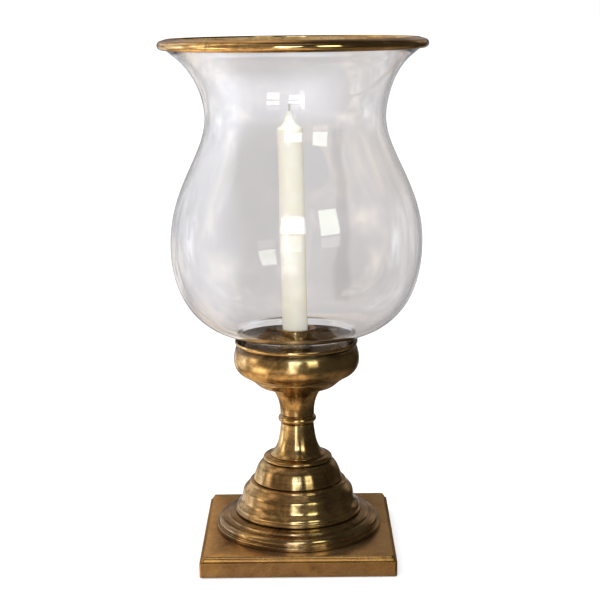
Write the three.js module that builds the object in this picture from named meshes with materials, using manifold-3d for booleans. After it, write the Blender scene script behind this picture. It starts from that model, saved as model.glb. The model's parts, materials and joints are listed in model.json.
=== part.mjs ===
// A table hurricane lamp: a turned brass pedestal on a square plinth, a shallow brass cup
// with a candle, and a blown-glass shade that stands in the cup and lifts straight off.
// Millimetres, +Z up, origin at the middle of the plane that the lamp stands on.

import * as THREE from 'three';
import { mergeVertices } from 'three/addons/utils/BufferGeometryUtils.js';
import Module from 'manifold-3d';

const wasm = await Module();
wasm.setup();

// Play between pieces, and how finely round things are cut.
const GAP = 0.3;
const CURVE_STEPS = 3;
const GLASS_STEPS = 4;
const RING_STEPS = 4;
const SHADE_SIDES = 36;
const BODY_SIDES = 28;
const STEM_SIDES = 20;
const SOCKET_SIDES = 16;

// Plinth and the pads under its corners.
const PLINTH_HALF = 83;
const PLINTH_CORNER = 2.2;
const PLINTH_TOP = 17.9;
const PLINTH_WALL = 3;
const PLINTH_ROOF = 4;
const EDGE_FOOT = 12.8;
const EDGE_INSET = 3.5;
const PAD_RADIUS = 9;
const PAD_THICKNESS = 2.5;
const PAD_STANDS_PROUD = 0.6;
const BOSS_RADIUS = 11;
const BOSS_AT = 67;

// The rod that runs up the middle, its nut and its washer.
const ROD_RADIUS = 4;
const ROD_HOLE = 4.5;
const ROD_FOOT = 3;
const NUT_ACROSS_FLATS = 13;
const NUT_HEIGHT = 6.5;
const WASHER_RADIUS = 12;
const WASHER_THICKNESS = 1.6;
const WEB = 4;

// Each turned piece drops a short spigot into the one below it.
const SPIGOT = 1.5;

// Heights of the turned pieces, from the plinth up.
const FOOT_RING_HEIGHT = 14;
const LOWER_DOME_HEIGHT = 27.9;
const UPPER_DOME_HEIGHT = 18.5;
const COLLAR_HEIGHT = 3.7;
const LOWER_STEM_HEIGHT = 28.7;
const KNOP_HEIGHT = 6.9;
const UPPER_STEM_HEIGHT = 24.4;
const BOWL_FOOT_HEIGHT = 10.9;
const BOWL_HEIGHT = 31;

// Cup: the ledge in the bowl, the pan on it and the candle's socket.
const LEDGE = 23;
const BOWL_MOUTH = 49.8;
const PAN_RADIUS = 49.4;
const PAN_CHANNEL = 1.8;
const PAN_FLOOR = 4.1;
const PAN_STEP = 45.2;
const SOCKET_RADIUS = 13.3;
const SOCKET_BORE = 12.2;
const SOCKET_TAIL = 12.3;
const SOCKET_SOLE = 5;
const SOCKET_HEIGHT = 10.6;
const DRIP_RADIUS = 17.1;

// Candle, a standard dinner candle that leans a little in its loose socket.
const CANDLE_FOOT_RADIUS = 10.8;
const CANDLE_RADIUS = 11;
const CANDLE_SHOULDER = 191.8;
const CANDLE_HEIGHT = 207.7;
const CANDLE_TIP = 2.4;
const CANDLE_LEAN = THREE.MathUtils.degToRad(0.8);
const CANDLE_FOOT_X = -0.63;
const WICK_RADIUS = 0.85;
const WICK_HOLE = 1.2;
const WICK_DEPTH = 6;
const WICK_LENGTH = 11.7;

// Glass shade, measured from its foot.
const GLASS_THICKNESS = 2.2;
const GLASS_FOOT = 48.2;
const BELLY_RADIUS = 107.5;
const BELLY_HEIGHT = 91;
const NECK_RADIUS = 76.3;
const NECK_HEIGHT = 197.7;
const RIM_RADIUS = 109.6;
const RIM_HEIGHT = 258;
const RIM_TUBE = 3.9;
const RIM_BORE = 3;
const CREST_IN = 4.4;
const CREST_UP = 4;
const CREST_TUBE = 1.3;
const RIM_SLIT = THREE.MathUtils.degToRad(30);
const LIP_SLOPE = THREE.MathUtils.degToRad(39);
const LIP_LENGTH = 13;

const BRASS = { color: 0x9c7a3c, metalness: 1, roughness: 0.34 };
const POLISHED_BRASS = { color: 0xc79a4a, metalness: 1, roughness: 0.2 };
const STEEL = { color: 0x9a9a98, metalness: 1, roughness: 0.45 };
const FELT = { color: 0x2f4a35, metalness: 0, roughness: 1 };
const WAX = { color: 0xf0e8cc, metalness: 0, roughness: 0.35 };
const COTTON = { color: 0xcfc4ba, metalness: 0, roughness: 0.8 };
const GLASS = { color: 0xeef0f0, metalness: 0, roughness: 0.03, transparent: true, opacity: 0.3 };

function piece(name, geometry, finish, z = 0) {
  const mesh = new THREE.Mesh(geometry, new THREE.MeshStandardMaterial(finish));
  mesh.name = name;
  mesh.position.z = z;
  return mesh;
}

// Turns an outline of radius and height about the Z axis. It runs outwards along the
// underside, up the outside, and back down the inside to where it began.
function turned(outline, sides, steps = CURVE_STEPS) {
  outline.closePath();
  return new THREE.LatheGeometry(outline.getPoints(steps), sides).rotateX(Math.PI / 2);
}

function startAt(radius, height) {
  return new THREE.Path().moveTo(radius, height);
}

// Square slab with rounded corners, lofted through levels of half width and height.
function squareLoft(levels, cornerSteps = 3) {
  const ring = 4 * (cornerSteps + 1);
  const places = [];
  for (const [half, z] of levels) {
    const middle = half - PLINTH_CORNER;
    for (let corner = 0; corner < 4; corner += 1) {
      const towards = (corner + 0.5) * Math.PI / 2;
      for (let step = 0; step <= cornerSteps; step += 1) {
        const turn = (corner + step / cornerSteps) * Math.PI / 2;
        places.push(
          Math.sign(Math.cos(towards)) * middle + PLINTH_CORNER * Math.cos(turn),
          Math.sign(Math.sin(towards)) * middle + PLINTH_CORNER * Math.sin(turn),
          z,
        );
      }
    }
  }
  const faces = [];
  for (let level = 0; level + 1 < levels.length; level += 1) {
    for (let i = 0; i < ring; i += 1) {
      const a = level * ring + i;
      const b = level * ring + (i + 1) % ring;
      faces.push(a, b, b + ring, a, b + ring, a + ring);
    }
  }
  const last = (levels.length - 1) * ring;
  for (let i = 1; i + 1 < ring; i += 1) {
    faces.push(0, i + 1, i, last, last + i, last + i + 1);
  }
  const geometry = new THREE.BufferGeometry();
  geometry.setAttribute('position', new THREE.Float32BufferAttribute(places, 3));
  return geometry.setIndex(faces);
}

function solid(geometry) {
  const bare = geometry.clone();
  bare.deleteAttribute('normal');
  bare.deleteAttribute('uv');
  const merged = mergeVertices(bare);
  return new wasm.Manifold(new wasm.Mesh({
    numProp: 3,
    vertProperties: merged.attributes.position.array,
    triVerts: new Uint32Array(merged.index.array),
  }));
}

function geometryOf(manifold) {
  const { vertProperties, triVerts } = manifold.getMesh();
  const geometry = new THREE.BufferGeometry();
  geometry.setAttribute('position', new THREE.BufferAttribute(vertProperties, 3));
  geometry.setIndex(new THREE.BufferAttribute(triVerts, 1));
  geometry.computeVertexNormals();
  return geometry;
}

// Upright cylinder between two heights.
function post(radius, low, high, sides) {
  return new THREE.CylinderGeometry(radius, radius, high - low, sides)
    .rotateX(Math.PI / 2)
    .translate(0, 0, (low + high) / 2);
}

// The four corners that the pads and their bosses stand at.
const corners = [[1, 1], [-1, 1], [-1, -1], [1, -1]]
  .map(([x, y]) => new THREE.Vector2(x, y).multiplyScalar(BOSS_AT));

// Cast plinth, open underneath, with a hollow moulding round its top edge and four
// bosses inside that the pads are glued to.
function basePlinth() {
  const pastFoot = PAD_STANDS_PROUD - 1;
  const ceiling = PLINTH_TOP - PLINTH_ROOF;
  const bossFoot = PAD_THICKNESS + GAP;
  let body = solid(squareLoft([
    [PLINTH_HALF, PAD_STANDS_PROUD],
    [PLINTH_HALF, EDGE_FOOT],
    [PLINTH_HALF - 0.6, EDGE_FOOT + 0.5],
    [PLINTH_HALF - 1.7, EDGE_FOOT + 1.3],
    [PLINTH_HALF - 2.1, EDGE_FOOT + 2.9],
    [PLINTH_HALF - 3, EDGE_FOOT + 3.5],
    [PLINTH_HALF - EDGE_INSET, PLINTH_TOP],
  ]));
  body = body.subtract(solid(squareLoft([
    [PLINTH_HALF - PLINTH_WALL, pastFoot],
    [PLINTH_HALF - PLINTH_WALL, ceiling - 1.5],
    [PLINTH_HALF - PLINTH_WALL - 1.5, ceiling],
  ])));
  for (const at of corners) {
    const boss = post(BOSS_RADIUS, bossFoot, ceiling + 1, STEM_SIDES);
    body = body.add(solid(boss.translate(at.x, at.y, 0)));
  }
  body = body.subtract(solid(post(ROD_HOLE, ceiling - 1, PLINTH_TOP + 1, STEM_SIDES)));
  return piece('base_plinth', geometryOf(body), BRASS);
}

function feltPads() {
  return corners.map((at, i) => {
    const pad = piece(`felt_pad_${i + 1}`, post(PAD_RADIUS, 0, PAD_THICKNESS, STEM_SIDES), FELT);
    pad.position.set(at.x, at.y, 0);
    return pad;
  });
}

function fasteners(rodTop) {
  const ceiling = PLINTH_TOP - PLINTH_ROOF;
  const washerFoot = ceiling - GAP - WASHER_THICKNESS;
  const nutFoot = washerFoot - GAP - NUT_HEIGHT;
  const bore = ROD_RADIUS + GAP;
  const rod = piece('tie_rod', post(ROD_RADIUS, ROD_FOOT, rodTop, SOCKET_SIDES), STEEL);

  const washer = startAt(ROD_HOLE, 0)
    .lineTo(WASHER_RADIUS, 0)
    .lineTo(WASHER_RADIUS, WASHER_THICKNESS)
    .lineTo(ROD_HOLE, WASHER_THICKNESS);

  const hexagon = new THREE.Shape();
  const acrossCorners = NUT_ACROSS_FLATS / Math.sqrt(3);
  for (let i = 0; i < 6; i += 1) {
    const turn = i * Math.PI / 3;
    const x = acrossCorners * Math.cos(turn);
    const y = acrossCorners * Math.sin(turn);
    if (i === 0) hexagon.moveTo(x, y);
    else hexagon.lineTo(x, y);
  }
  hexagon.closePath();
  hexagon.holes.push(new THREE.Path().absarc(0, 0, bore, 0, 2 * Math.PI));
  const nut = new THREE.ExtrudeGeometry(hexagon, {
    depth: NUT_HEIGHT,
    bevelEnabled: false,
    curveSegments: SOCKET_SIDES / 2,
  });
  return [
    rod,
    piece('rod_washer', turned(washer, SOCKET_SIDES), STEEL, washerFoot),
    piece('rod_nut', nut, STEEL, nutFoot),
  ];
}

// Broad ring with a half-round side and a step on top.
function footRing() {
  const top = FOOT_RING_HEIGHT;
  return startAt(68.2, 0)
    .lineTo(72.2, 0)
    .lineTo(72.1, 3.4)
    .lineTo(70.2, 3.9)
    .bezierCurveTo(70.5, 7.8, 69.6, 10.2, 62.7, 10.7)
    .lineTo(62.2, 11.1)
    .lineTo(62.1, 12.3)
    .lineTo(61.6, 12.6)
    .lineTo(55.5, top)
    .lineTo(46, top)
    .lineTo(46, top - WEB)
    .lineTo(58, top - WEB)
    .quadraticCurveTo(66.4, 9.4, 68.2, 0);
}

// Flange, ogee edge, dome and a bead round the top.
function lowerDome() {
  const top = LOWER_DOME_HEIGHT;
  return startAt(42.5, -SPIGOT)
    .lineTo(45.5, -SPIGOT)
    .lineTo(45.5, 0)
    .lineTo(54.2, 0)
    .lineTo(55.3, 0.7)
    .lineTo(55.3, 2.5)
    .lineTo(53.9, 4.2)
    .bezierCurveTo(53.9, 7, 50.7, 8.2, 49.7, 11.2)
    .quadraticCurveTo(49, 15, 48.1, 19)
    .bezierCurveTo(47.7, 20.6, 45.9, 22.4, 42.5, 25.5)
    .quadraticCurveTo(42.9, 27.4, 40.5, top)
    .lineTo(30, top)
    .lineTo(30, top - 3.5)
    .lineTo(38.2, top - 3.7)
    .quadraticCurveTo(45, 20, 47.3, 8)
    .lineTo(47.3, 4)
    .lineTo(42.5, 3);
}

function upperDome() {
  const top = UPPER_DOME_HEIGHT;
  return startAt(26.5, -SPIGOT)
    .lineTo(29.5, -SPIGOT)
    .lineTo(29.5, 0)
    .lineTo(38.7, 0)
    .lineTo(39.1, 0.7)
    .quadraticCurveTo(37.4, 7.6, 34.8, 12.4)
    .quadraticCurveTo(32.6, 15.8, 29.2, top - 0.5)
    .lineTo(28.6, top)
    .lineTo(ROD_HOLE, top)
    .lineTo(ROD_HOLE, top - WEB)
    .lineTo(25.2, top - WEB)
    .quadraticCurveTo(32.2, 10, 34.5, 3.4)
    .lineTo(26.5, 3);
}

function collar() {
  const top = COLLAR_HEIGHT;
  return startAt(ROD_HOLE, 0)
    .lineTo(29.8, 0)
    .lineTo(30.3, 0.6)
    .quadraticCurveTo(29.7, 3.2, 25.9, top - 0.3)
    .lineTo(24.9, top)
    .lineTo(ROD_HOLE, top);
}

function lowerStem() {
  const top = LOWER_STEM_HEIGHT;
  return startAt(20.5, 0)
    .lineTo(24.4, 0)
    .bezierCurveTo(17.8, 5, 16, 12, 14.4, top - 0.6)
    .lineTo(13.9, top)
    .lineTo(ROD_HOLE, top)
    .lineTo(ROD_HOLE, top - WEB)
    .lineTo(10.4, top - WEB)
    .quadraticCurveTo(12.4, 6, 20.5, 0);
}

function knop() {
  const top = KNOP_HEIGHT;
  return startAt(ROD_HOLE, 0)
    .lineTo(14.2, 0)
    .lineTo(14.9, 0.8)
    .bezierCurveTo(17, 2, 17.6, 4.2, 14.8, top - 0.7)
    .lineTo(14.4, top)
    .lineTo(ROD_HOLE, top);
}

function upperStem() {
  const top = UPPER_STEM_HEIGHT;
  return startAt(ROD_HOLE, 0)
    .lineTo(14.5, 0)
    .lineTo(14.9, 0.4)
    .bezierCurveTo(14.8, 9, 16.6, 17, 22.3, top - 0.5)
    .lineTo(22, top)
    .lineTo(18.4, top)
    .lineTo(18.2, top - SPIGOT - GAP)
    .quadraticCurveTo(12.2, 14, 11.2, WEB)
    .lineTo(ROD_HOLE, WEB);
}

// Saucer that the cup stands in.
function bowlFoot() {
  const top = BOWL_FOOT_HEIGHT;
  return startAt(ROD_HOLE, -SPIGOT)
    .lineTo(17.9, -SPIGOT)
    .lineTo(17.9, 0)
    .lineTo(25.4, 0)
    .lineTo(26.6, 0.5)
    .bezierCurveTo(35.7, 1.2, 34.1, 4.2, 42.7, top - 1.3)
    .lineTo(42.9, top - 0.6)
    .lineTo(42.4, top)
    .lineTo(36, top)
    .lineTo(36, top - SPIGOT - GAP)
    .quadraticCurveTo(32, 5.2, 22, 3.6)
    .lineTo(ROD_HOLE, 3.4);
}

// The cup's body. Its lip is turned thin, and a ledge inside carries the pan.
function cupBowl() {
  const top = BOWL_HEIGHT;
  return startAt(ROD_HOLE, -SPIGOT)
    .lineTo(35.6, -SPIGOT)
    .lineTo(35.6, 0)
    .lineTo(44.8, 0)
    .bezierCurveTo(52, 2.4, 57.6, 9.6, 53, 23.6)
    .lineTo(51.2, 26.3)
    .lineTo(51.1, 26.9)
    .lineTo(53.2, top - 2)
    .lineTo(53.2, top - 0.4)
    .lineTo(52.7, top)
    .lineTo(52.2, top - 0.5)
    .lineTo(BOWL_MOUTH, 27.2)
    .lineTo(BOWL_MOUTH, LEDGE)
    .lineTo(46.5, LEDGE)
    .lineTo(46.5, LEDGE - 1.6)
    .bezierCurveTo(53.2, 17.2, 51.4, 5.6, 39.5, 2.6)
    .lineTo(ROD_HOLE, 2.4);
}

// Pan with a raised floor. The glass stands in the channel between it and the bowl.
function candlePan() {
  return startAt(SOCKET_RADIUS + 0.4, PAN_FLOOR - PAN_CHANNEL)
    .lineTo(PAN_STEP - PAN_CHANNEL, PAN_FLOOR - PAN_CHANNEL)
    .lineTo(PAN_STEP - PAN_CHANNEL + 0.3, 0)
    .lineTo(PAN_RADIUS, 0)
    .lineTo(PAN_RADIUS, PAN_CHANNEL)
    .lineTo(PAN_STEP + 0.3, PAN_CHANNEL)
    .lineTo(PAN_STEP, PAN_FLOOR - 0.3)
    .lineTo(PAN_STEP - 0.4, PAN_FLOOR)
    .lineTo(SOCKET_RADIUS + 0.4, PAN_FLOOR);
}

// Tube with two beads round its foot. Its tail goes down through the pan to the rod.
function candleSocket() {
  const sole = SOCKET_SOLE - SOCKET_TAIL;
  return startAt(ROD_HOLE, -SOCKET_TAIL)
    .lineTo(SOCKET_RADIUS, -SOCKET_TAIL)
    .lineTo(SOCKET_RADIUS, 0)
    .lineTo(16.9, 0)
    .quadraticCurveTo(18.4, 0.9, 16.6, 1.8)
    .lineTo(14.8, 1.9)
    .quadraticCurveTo(16, 2.6, 14.6, 3.3)
    .lineTo(SOCKET_RADIUS, 3.5)
    .lineTo(SOCKET_RADIUS, SOCKET_HEIGHT)
    .lineTo(SOCKET_BORE, SOCKET_HEIGHT)
    .lineTo(SOCKET_BORE, sole)
    .lineTo(ROD_HOLE, sole);
}

function dripRing() {
  return startAt(SOCKET_BORE, 0)
    .lineTo(13.8, 0)
    .lineTo(DRIP_RADIUS - 0.2, 0.5)
    .lineTo(DRIP_RADIUS, 1.1)
    .lineTo(DRIP_RADIUS - 0.3, 1.5)
    .lineTo(13.8, 1.1)
    .lineTo(SOCKET_BORE, 1.1);
}

function candle(z) {
  const outline = new THREE.Path()
    .moveTo(0, 0)
    .lineTo(CANDLE_FOOT_RADIUS - 0.5, 0)
    .lineTo(CANDLE_FOOT_RADIUS, 0.5)
    .lineTo(CANDLE_RADIUS, CANDLE_SHOULDER)
    .quadraticCurveTo(CANDLE_RADIUS - 0.1, CANDLE_SHOULDER + 1, 10, CANDLE_SHOULDER + 1.7)
    .quadraticCurveTo(4, CANDLE_SHOULDER + 5, CANDLE_TIP, CANDLE_HEIGHT)
    .lineTo(WICK_HOLE, CANDLE_HEIGHT)
    .lineTo(WICK_HOLE, CANDLE_HEIGHT - WICK_DEPTH)
    .lineTo(0, CANDLE_HEIGHT - WICK_DEPTH);
  const stick = new THREE.LatheGeometry(outline.getPoints(CURVE_STEPS), SOCKET_SIDES)
    .rotateX(Math.PI / 2);
  const wickFoot = CANDLE_HEIGHT - WICK_DEPTH + GAP;
  const wick = post(WICK_RADIUS, wickFoot, wickFoot + WICK_LENGTH, SOCKET_SIDES / 2);

  const leaning = new THREE.Group();
  leaning.add(piece('candle', stick, WAX), piece('wick', wick, COTTON));
  leaning.position.set(CANDLE_FOOT_X, 0, z);
  leaning.rotation.y = -CANDLE_LEAN;
  return leaning;
}

// The outside of the blown glass, from its foot to its lip inside the rim ring. The lip is
// straight, and the middle of its thickness runs to the centre of the ring's tube.
function glassCurve() {
  const lip = new THREE.Vector2(Math.cos(LIP_SLOPE), Math.sin(LIP_SLOPE));
  const end = new THREE.Vector2(lip.y, -lip.x)
    .multiplyScalar(GLASS_THICKNESS / 2)
    .add(new THREE.Vector2(RIM_RADIUS, RIM_HEIGHT));
  const mouth = lip.multiplyScalar(-LIP_LENGTH).add(end);
  return startAt(GLASS_FOOT, 0)
    .lineTo(49.9, 9.5)
    .bezierCurveTo(50.3, 11.3, 51.6, 11.7, 55.4, 12.4)
    .bezierCurveTo(84.8, 17.6, BELLY_RADIUS, 43.6, BELLY_RADIUS, BELLY_HEIGHT)
    .bezierCurveTo(BELLY_RADIUS, 139.6, NECK_RADIUS, 167.3, NECK_RADIUS, NECK_HEIGHT)
    .bezierCurveTo(NECK_RADIUS, 211, 82.5, 235, mouth.x, mouth.y)
    .lineTo(end.x, end.y);
}

// Each point of a line moved square to the line, to its left, by a distance.
function offset(line, distance) {
  return line.map((point, i) => {
    const along = line[Math.min(i + 1, line.length - 1)].clone().sub(line[Math.max(i - 1, 0)]);
    const across = new THREE.Vector2(-along.y, along.x).setLength(distance);
    return point.clone().add(across);
  });
}

function glassShade() {
  const outside = glassCurve().getPoints(GLASS_STEPS);
  const inside = offset(outside, GLASS_THICKNESS).reverse();
  inside[inside.length - 1].y = outside[0].y;
  const section = [...outside, ...inside, outside[0].clone()];
  return new THREE.LatheGeometry(section, SHADE_SIDES).rotateX(Math.PI / 2);
}

// Rolled tube with a small crest on its inner side, slit where it takes the lip of the glass.
function rimRing() {
  const slit = LIP_SLOPE + Math.PI;
  const low = slit + RIM_SLIT;
  const high = slit - RIM_SLIT;
  const crestX = RIM_RADIUS - CREST_IN;
  const crestY = RIM_HEIGHT + CREST_UP;
  const reach = Math.hypot(CREST_IN, CREST_UP);
  const tangent = Math.atan2(CREST_UP, -CREST_IN) - Math.acos((RIM_TUBE - CREST_TUBE) / reach);
  const fullTurn = 2 * Math.PI;
  const section = new THREE.Path()
    .absarc(RIM_RADIUS, RIM_HEIGHT, RIM_TUBE, low, tangent + fullTurn, false)
    .absarc(crestX, crestY, CREST_TUBE, tangent, Math.PI, false)
    .lineTo(RIM_RADIUS + RIM_TUBE * Math.cos(high), RIM_HEIGHT + RIM_TUBE * Math.sin(high))
    .absarc(RIM_RADIUS, RIM_HEIGHT, RIM_BORE, high + fullTurn, low, true);
  return turned(section, SHADE_SIDES, RING_STEPS);
}

// Turned pieces from the plinth up, each standing on the one before.
const stack = [
  ['foot_ring', footRing(), FOOT_RING_HEIGHT, BODY_SIDES],
  ['lower_dome', lowerDome(), LOWER_DOME_HEIGHT, BODY_SIDES],
  ['upper_dome', upperDome(), UPPER_DOME_HEIGHT, BODY_SIDES],
  ['collar', collar(), COLLAR_HEIGHT, STEM_SIDES],
  ['lower_stem', lowerStem(), LOWER_STEM_HEIGHT, STEM_SIDES],
  ['knop', knop(), KNOP_HEIGHT, STEM_SIDES],
  ['upper_stem', upperStem(), UPPER_STEM_HEIGHT, STEM_SIDES],
  ['bowl_foot', bowlFoot(), BOWL_FOOT_HEIGHT, BODY_SIDES],
  ['cup_bowl', cupBowl(), BOWL_HEIGHT, BODY_SIDES],
];

const lamp = new THREE.Group();
lamp.add(basePlinth(), ...feltPads());

let seat = PLINTH_TOP + GAP;
for (const [name, outline, height, sides] of stack) {
  lamp.add(piece(name, turned(outline, sides), BRASS, seat));
  seat += height + GAP;
}

const bowlZ = seat - GAP - BOWL_HEIGHT;
const panZ = bowlZ + LEDGE + GAP;
const socketZ = panZ + PAN_FLOOR + GAP;
const boreFloor = socketZ - SOCKET_TAIL + SOCKET_SOLE;
const glassZ = panZ + PAN_CHANNEL + GAP;

lamp.add(
  ...fasteners(boreFloor - 2 * GAP),
  piece('candle_pan', turned(candlePan(), BODY_SIDES), BRASS, panZ),
  piece('candle_socket', turned(candleSocket(), SOCKET_SIDES), BRASS, socketZ),
  piece('drip_ring', turned(dripRing(), SOCKET_SIDES), BRASS, socketZ + SOCKET_HEIGHT + GAP),
  candle(boreFloor + GAP),
  piece('glass_shade', glassShade(), GLASS, glassZ),
  piece('rim_ring', rimRing(), POLISHED_BRASS, glassZ),
);

export default lamp;
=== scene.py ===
"""Looks of the hurricane lamp: a turned brass pedestal, a candle and a blown-glass shade."""
import json
import math

import bmesh
import bpy
from mathutils import Matrix, Vector, noise


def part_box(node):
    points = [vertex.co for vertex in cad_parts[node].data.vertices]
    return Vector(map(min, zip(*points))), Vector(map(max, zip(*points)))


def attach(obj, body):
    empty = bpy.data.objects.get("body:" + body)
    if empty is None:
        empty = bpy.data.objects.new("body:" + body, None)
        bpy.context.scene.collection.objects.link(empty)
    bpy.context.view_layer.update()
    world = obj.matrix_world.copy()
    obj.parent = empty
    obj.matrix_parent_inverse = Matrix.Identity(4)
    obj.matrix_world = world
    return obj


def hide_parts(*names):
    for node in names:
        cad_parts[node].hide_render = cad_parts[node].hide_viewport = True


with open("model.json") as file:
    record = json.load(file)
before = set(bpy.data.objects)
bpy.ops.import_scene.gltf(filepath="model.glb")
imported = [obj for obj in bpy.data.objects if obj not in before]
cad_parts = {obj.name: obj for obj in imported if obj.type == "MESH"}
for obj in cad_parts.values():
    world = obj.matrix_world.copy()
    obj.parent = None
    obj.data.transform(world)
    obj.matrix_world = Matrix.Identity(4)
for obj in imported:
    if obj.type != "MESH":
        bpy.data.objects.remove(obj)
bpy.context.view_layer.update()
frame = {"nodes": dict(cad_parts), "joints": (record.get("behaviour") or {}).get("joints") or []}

# Outlines are in millimetres, as a turner would read them; meshes are in metres.
MM = 0.001
FULL_TURN = 2 * math.pi

# How many sides a full circle is made of.
WIDE_SIDES = 192
STEM_SIDES = 128
RIM_SIDES = 256

SPIGOT = 1.5  # how far a piece reaches into the one below it
WEB = 4.0  # thickness of a floor that the rod goes through
ROD_HOLE = 4.5  # radius


# Camera: where the photograph was taken from, solved from its outlines.
EYE = Vector((7.9, -1219.5, 467.9)) * MM
YAW = math.radians(0.204)
PITCH = math.radians(-11.45)
ROLL = math.radians(0.64)
LENS_MM = 86.36
SENSOR_MM = 36


def make_camera():
    data = bpy.data.cameras.new("camera")
    data.lens = LENS_MM
    data.sensor_width = SENSOR_MM
    camera = bpy.data.objects.new("camera", data)
    bpy.context.scene.collection.objects.link(camera)
    turn = Matrix.Rotation(YAW, 4, "Z") @ Matrix.Rotation(math.pi / 2 + PITCH, 4, "X")
    camera.matrix_world = Matrix.Translation(EYE) @ turn @ Matrix.Rotation(-ROLL, 4, "Z")
    bpy.context.scene.camera = camera


make_camera()


# Outlines


class Outline:
    """A line of (radius, height) points in mm.

    It runs out along the underside, up the outside and down the inside."""

    def __init__(self, radius, height):
        self.points = [Vector((radius, height))]

    def line(self, *places):
        self.points += [Vector(place) for place in places]
        return self

    def curve(self, *controls, steps=14):
        """A Bezier curve from the last point, through its controls to its end."""
        knots = [self.points[-1]] + [Vector(control) for control in controls]
        for step in range(1, steps + 1):
            row = knots
            while len(row) > 1:
                row = [a.lerp(b, step / steps) for a, b in zip(row, row[1:])]
            self.points.append(row[0])
        return self

    def lowest(self):
        return min(point.y for point in self.points)


def eased(points, radius, closed=True, steps=4, sharp=math.radians(16), share=0.42):
    """The line with each corner sharper than `sharp` rounded off, as polishing leaves it.

    No corner takes more than `share` of the straight pieces beside it."""
    out = []
    count = len(points)
    for i, here in enumerate(points):
        if not closed and i in (0, count - 1):
            out.append(here)
            continue
        back = points[i - 1] - here
        on = points[(i + 1) % count] - here
        turn = math.pi - back.angle(on, math.pi)
        if turn < sharp:
            out.append(here)
            continue
        reach = min(radius * math.tan(turn / 2), share * back.length, share * on.length)
        start = here + back.normalized() * reach
        end = here + on.normalized() * reach
        for step in range(steps + 1):
            t = step / steps
            out.append(start.lerp(here, t).lerp(here.lerp(end, t), t))
    return out


# Meshes


def make_object(name, bm):
    mesh = bpy.data.meshes.new(name)
    bmesh.ops.recalc_face_normals(bm, faces=bm.faces)
    bm.to_mesh(mesh)
    bm.free()
    mesh.shade_smooth()
    piece = bpy.data.objects.new(name, mesh)
    bpy.context.scene.collection.objects.link(piece)
    return piece


def loft(bm, rings, closed):
    """Joins rings of points, each a list of one length or a single pole, with faces."""
    made = [[bm.verts.new(place) for place in ring] for ring in rings]
    pairs = list(zip(made, made[1:]))
    if closed:
        pairs.append((made[-1], made[0]))
    for low, high in pairs:
        count = max(len(low), len(high))
        for i in range(count):
            j = (i + 1) % count
            if len(low) == 1:
                bm.faces.new((low[0], high[j], high[i]))
            elif len(high) == 1:
                bm.faces.new((low[i], low[j], high[0]))
            else:
                bm.faces.new((low[i], low[j], high[j], high[i]))


POLE = 1e-6  # a radius below this is the axis itself


def circle(radius, height, sides, shape=None):
    """A ring of points in metres, or a single pole. shape(place, angle) may move a point, in mm."""
    if radius < POLE:
        return [Vector((0, 0, height)) * MM]
    ring = []
    for i in range(sides):
        angle = FULL_TURN * i / sides
        place = Vector((radius * math.cos(angle), radius * math.sin(angle), height))
        ring.append((shape(place, angle) if shape else place) * MM)
    return ring


def turned(name, points, sides, z=0.0, closed=True):
    """Turns (radius, height) points about Z and lifts them by z, all in mm."""
    bm = bmesh.new()
    loft(bm, [circle(radius, height + z, sides) for radius, height in points], closed)
    return make_object(name, bm)


def seat(node, outline):
    """How far up, in mm, an outline goes so that its lowest point is the node's."""
    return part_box(node)[0][2] / MM - outline.lowest()


# Materials


def new_material(name):
    material = bpy.data.materials.new(name)
    material.use_nodes = True
    return material


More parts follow.
